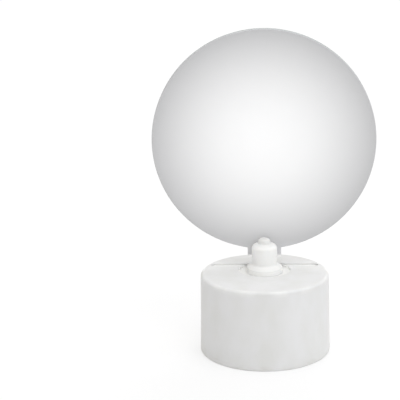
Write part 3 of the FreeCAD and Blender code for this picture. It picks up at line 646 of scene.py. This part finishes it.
def woven_board():
    """Glass cloth under green lacquer: a glossy green with the weave just visible."""
    material, tree, shader, place = new_material("FR4 laminate, green solder mask", {"IOR": 1.5})
    turns = add_node(tree, "ShaderNodeMapping", {"Vector": place, "Scale": [2 * math.pi / THREAD_PITCH] * 3})
    waves = []
    for axis in "XY":
        angle = add_node(tree, "ShaderNodeSeparateXYZ", {"Vector": turns}, axis)
        waves.append(add_node(tree, "ShaderNodeMath", {0: angle}, operation="SINE"))
    weave = add_node(tree, "ShaderNodeMath", {0: waves[0], 1: waves[1]}, operation="MULTIPLY")
    weave = add_node(tree, "ShaderNodeMapRange", {"Value": weave, "From Min": -1.0, "From Max": 1.0})
    green = add_node(tree, "ShaderNodeMix", {
        SHARE: weave, FIRST: linear("#1F5A34"), SECOND: linear("#266A3E")}, MIXED, data_type="RGBA")
    roughness = add_node(tree, "ShaderNodeMapRange", {
        "Value": weave, "To Min": LACQUER_ROUGHNESS[0], "To Max": LACQUER_ROUGHNESS[1]})
    join(tree, shader, green, roughness, weave, WEAVE_DEPTH)
    return material


dress(["circuit_board"], woven_board())

# %% [markdown]
# ## The resistor
#
# A carbon film resistor is a small rod dipped in tan lacquer, with painted rings that give its value, and
# a bare tinned lead at each end. It lies along X, so the distance along X places the rings, and beyond
# the ends of the lacquer the surface turns to metal. The rings could be bands of the mesh, but paint has
# no thickness to speak of.

# %% Dress the resistor
RING_HALF = 0.32 * MM
RINGS = ((-1.8 * MM, "#6B3A1E"), (-0.8 * MM, "#1C1A19"), (0.2 * MM, "#A3221E"), (1.8 * MM, "#B58A3C"))
LACQUER_END = 3.17 * MM       # from the middle of the resistor to where its bare leads start
DIP_GRAIN = 0.3 * MM
DIP_DEPTH = 0.01 * MM
DIP_ROUGHNESS = (0.28, 0.36)


def ringed_lacquer():
    """Dipped lacquer with painted rings, glossy and slightly lumpy, and bright bare leads."""
    material, tree, shader, place = new_material(
        "tan lacquer with painted rings, tinned leads", {"IOR": 1.5})
    along = add_node(tree, "ShaderNodeSeparateXYZ", {"Vector": place}, "X")
    grain = add_node(tree, "ShaderNodeTexNoise", {"Vector": place, "Scale": 1 / DIP_GRAIN})
    colour = add_node(tree, "ShaderNodeMix", {
        SHARE: grain, FIRST: linear("#CDB58A"), SECOND: linear("#C4AB7E")}, MIXED, data_type="RGBA")
    for middle, paint in RINGS:
        away = add_node(tree, "ShaderNodeMath", {0: along, 1: middle}, operation="SUBTRACT")
        away = add_node(tree, "ShaderNodeMath", {0: away}, operation="ABSOLUTE")
        on_ring = add_node(tree, "ShaderNodeMath", {0: away, 1: RING_HALF}, operation="LESS_THAN")
        colour = add_node(tree, "ShaderNodeMix", {SHARE: on_ring, FIRST: colour, SECOND: linear(paint)},
                          MIXED, data_type="RGBA")
    away = add_node(tree, "ShaderNodeMath", {0: along}, operation="ABSOLUTE")
    on_lead = add_node(tree, "ShaderNodeMath", {0: away, 1: LACQUER_END}, operation="GREATER_THAN")
    colour = add_node(tree, "ShaderNodeMix", {SHARE: on_lead, FIRST: colour, SECOND: linear("#D2D2D0")},
                      MIXED, data_type="RGBA")
    tree.links.new(on_lead, shader.inputs["Metallic"])
    roughness = add_node(tree, "ShaderNodeMapRange", {
        "Value": grain, "To Min": DIP_ROUGHNESS[0], "To Max": DIP_ROUGHNESS[1]})
    join(tree, shader, colour, roughness, grain, DIP_DEPTH)
    return material


dress(["limit_resistor"], ringed_lacquer())

# %% [markdown]
# ## The LED's lens
#
# The lens is cast in one go from clear epoxy round the leads. It is almost as clear as glass, with a
# faint warm tint and a haze of tiny bubbles. The haze moves only its colour and roughness, because a
# casting in a polished mould has no relief.

# %% Dress the lens, and check that nothing was forgotten
BUBBLE_HAZE = 0.5 * MM
LENS_ROUGHNESS = (0.04, 0.12)


def clear_epoxy():
    """Cast epoxy: clear and slightly warm, with a soft sparkle."""
    material, tree, shader, place = new_material(
        "cast epoxy, clear", {"IOR": 1.55, "Transmission Weight": 0.9})
    haze = add_node(tree, "ShaderNodeTexNoise", {
        "Vector": place, "Scale": 1 / BUBBLE_HAZE, "Detail": FINE_DETAIL})
    colour = add_node(tree, "ShaderNodeMix", {
        SHARE: haze, FIRST: linear("#FBF6E9"), SECOND: linear("#F3EEDF")}, MIXED, data_type="RGBA")
    roughness = add_node(tree, "ShaderNodeMapRange", {
        "Value": haze, "To Min": LENS_ROUGHNESS[0], "To Max": LENS_ROUGHNESS[1]})
    join(tree, shader, colour, roughness)
    return material


dress(["led_lens"], clear_epoxy())
print("dressed:", len(dressed), "pieces, forgotten:", sorted(set(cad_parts) - dressed))

# %% [markdown]
# ## What is seen, and what gives light
#
# The lamp stands on white paper in a white room. Pale matt plastic shows little but the light that falls
# on it, so the room matters more here than any single light. The room and the paper do two jobs. They
# light the object, at a level where each colour comes out about as it is written, and they are seen
# behind it and in its shine, where they should be plain white. The Light Path node tells the two apart,
# so that a whiter ground doesn't put more light on the object.

# %% Seen directly or giving light
def seen_directly(tree):
    """1 for what the camera, a reflection or clear plastic looks at, and 0 for the rays that carry light."""
    path = add_node(tree, "ShaderNodeLightPath").node.outputs
    seen = add_node(tree, "ShaderNodeMath", {
        0: path["Is Camera Ray"], 1: path["Is Glossy Ray"]}, operation="ADD")
    return add_node(tree, "ShaderNodeMath", {
        0: seen, 1: path["Is Transmission Ray"]}, operation="ADD", use_clamp=True)


print("camera, glossy and transmission rays see plain white")

# %% [markdown]
# ## The floor
#
# The floor is a large flat sheet of matt white paper. Seen directly, part of the paper is replaced by
# plain white that gives light of its own, so that only a faint shade of the lamp is left on it. Farther
# out the white takes over fully, and no horizon shows from the side.

# %% Lay the paper
FLOOR_SIZE = 8.0
PAPER_FIBRE = 0.6 * MM        # real fibres are 0.03 mm wide, too fine to show, so they are drawn coarser
WHITE = linear("#FFFFFF")
WHITE_STRENGTH = 1.02
LIFT_NEAR = 0.66              # the share of plain white near the lamp
NEAR_EDGE = 80.0 * MM         # from the lamp's middle to where that share starts to rise
FAR_EDGE = 400.0 * MM         # and to where all is plain white

bpy.ops.object.select_all(action="DESELECT")
bpy.ops.mesh.primitive_plane_add(size=FLOOR_SIZE, location=(0, 0, 0))
floor = bpy.context.object
floor.name = "floor"
paper = bpy.data.materials.new("matt white paper")
paper.use_nodes = True
tree = paper.node_tree
tree.nodes.clear()
place = add_node(tree, "ShaderNodeTexCoord", give="Object")
fibre = add_node(tree, "ShaderNodeTexNoise", {
    "Vector": place, "Scale": 1 / PAPER_FIBRE, "Detail": FINE_DETAIL})
tone = add_node(tree, "ShaderNodeMix", {
    SHARE: fibre, FIRST: linear("#EDEDED"), SECOND: linear("#EFEFEF")}, MIXED, data_type="RGBA")
# Paper has no shine, so it is plainly diffuse: all that the eye gets is the lamp's soft shade.
matt = add_node(tree, "ShaderNodeBsdfDiffuse", {"Color": tone})
plain_white = add_node(tree, "ShaderNodeEmission", {"Color": WHITE, "Strength": WHITE_STRENGTH})
distance = add_node(tree, "ShaderNodeVectorMath", {0: place}, "Value", operation="LENGTH")
lift = add_node(tree, "ShaderNodeMapRange", {
    "Value": distance, "From Min": NEAR_EDGE, "From Max": FAR_EDGE, "To Min": LIFT_NEAR, "To Max": 1.0})
lifted = add_node(tree, "ShaderNodeMixShader", {0: lift, 1: matt, 2: plain_white})
either = add_node(tree, "ShaderNodeMixShader", {0: seen_directly(tree), 1: matt, 2: lifted})
add_node(tree, "ShaderNodeOutputMaterial", {"Surface": either})
floor.data.materials.append(paper)
print("paper laid:", FLOOR_SIZE, "m wide")

# %% [markdown]
# ## The room
#
# The room is a white one with its daylight on the right and in front, and a dimmer, slightly warmer end
# on the left. It could be a photograph of a room wrapped round the scene, but the lamp is so soft and
# pale that only the drift from one end to the other shows on it. So the world's colour follows the
# direction alone.

# %% Paint the room
ROOM_LEVEL = 1.035
SEEN_LEVEL = 1.0
LIT_SIDE = (0.86, -0.72, 0.28)       # longer than 1, so both ends of the drift are reached before the poles

room = bpy.data.worlds.new("white room")
bpy.context.scene.world = room
room.use_nodes = True
tree = room.node_tree
tree.nodes.clear()
direction = add_node(tree, "ShaderNodeTexCoord", give="Generated")
towards_light = add_node(tree, "ShaderNodeVectorMath", {0: direction, 1: LIT_SIDE}, "Value",
                         operation="DOT_PRODUCT")
share = add_node(tree, "ShaderNodeMapRange", {"Value": towards_light, "From Min": -1.0, "From Max": 1.0})
walls = add_node(tree, "ShaderNodeMix", {SHARE: share, FIRST: linear("#A5A19A"), SECOND: linear("#FCFDFF")},
                 MIXED, data_type="RGBA")
giving = add_node(tree, "ShaderNodeBackground", {"Color": walls, "Strength": ROOM_LEVEL})
seen = add_node(tree, "ShaderNodeBackground", {"Color": WHITE, "Strength": SEEN_LEVEL})
either = add_node(tree, "ShaderNodeMixShader", {0: seen_directly(tree), 1: giving, 2: seen})
add_node(tree, "ShaderNodeOutputWorld", {"Surface": either})
print("room level", ROOM_LEVEL, "brightest towards", LIT_SIDE)

# %% [markdown]
# ## Three soft lights
#
# The room alone would leave the roof and the right side too even. Three large soft lights, such as
# covered panels on stands, add to it: one in front, high and a little to the right, one straight above,
# and one behind. The one above and the one behind brighten the roof against the side. Small hard lights
# would do it too, but they would leave sharp shadows on the paper. All three are weak, so that the whites
# keep their shades.

# %% Hang the lights
LIGHT_DISTANCE = 1.0
LIGHT_SIZE = 0.55
AIM = Vector((0, 0, 50.0 * MM))      # a little below the middle of the lamp
LIGHTS = {                           # each light's watts, and the side that it shines from
    "key": (1.4, Vector((0.25, -0.45, 0.86))),
    "top": (2.3, Vector((0.0, 0.0, 1.0))),
    "back": (2.2, Vector((0.10, 0.60, 0.80))),
}

for name, (watts, side) in LIGHTS.items():
    light = bpy.data.lights.new(name, "AREA")
    light.shape = "DISK"
    light.size = LIGHT_SIZE
    light.energy = watts
    holder = bpy.data.objects.new(name, light)
    bpy.context.collection.objects.link(holder)
    holder.location = AIM + side.normalized() * LIGHT_DISTANCE
    holder.rotation_euler = (AIM - holder.location).to_track_quat("-Z", "Y").to_euler()
    print(name, "light:", watts, "W at", [round(v, 2) for v in holder.location])

# %% [markdown]
# ## Camera
#
# The camera stands 45 cm in front of the lamp and looks down at it by 15 degrees, a hair turned and
# tilted, as one holds a camera by hand. It could be placed by eye, but its place and angles follow better
# from the outline of the disc and the two rims of the base, which leave only one camera that fits.

# %% Set up the camera
SENSOR = 36.0                 # mm, the width of a full frame
CAMERA_BACK = 450.0 * MM
CAMERA_HEIGHT = 175.58 * MM
CAMERA_PITCH = 0.2594         # radians, downwards
CAMERA_YAW = -0.0505
CAMERA_ROLL = -0.0207
FOCAL_PIXELS = 1310.9         # the focal length in pixels of the picture
PICTURE_WIDTH = 400
NEAREST = 10 * MM

forward = Vector((math.sin(CAMERA_YAW) * math.cos(CAMERA_PITCH),
                  math.cos(CAMERA_YAW) * math.cos(CAMERA_PITCH), -math.sin(CAMERA_PITCH)))
level_right = Vector((math.cos(CAMERA_YAW), -math.sin(CAMERA_YAW), 0))
level_up = level_right.cross(forward)
right = level_right * math.cos(CAMERA_ROLL) + level_up * math.sin(CAMERA_ROLL)
up = level_up * math.cos(CAMERA_ROLL) - level_right * math.sin(CAMERA_ROLL)
turn = Matrix((right, up, -forward)).transposed().to_4x4()

camera = bpy.data.objects.new("camera", bpy.data.cameras.new("camera"))
bpy.context.collection.objects.link(camera)
camera.matrix_world = Matrix.Translation((0, -CAMERA_BACK, CAMERA_HEIGHT)) @ turn
camera.data.sensor_width = SENSOR
camera.data.lens = FOCAL_PIXELS / PICTURE_WIDTH * SENSOR
camera.data.clip_start = NEAREST
bpy.context.scene.camera = camera
bpy.context.scene.view_settings.view_transform = "Standard"
print("lens:", round(camera.data.lens, 1), "mm")
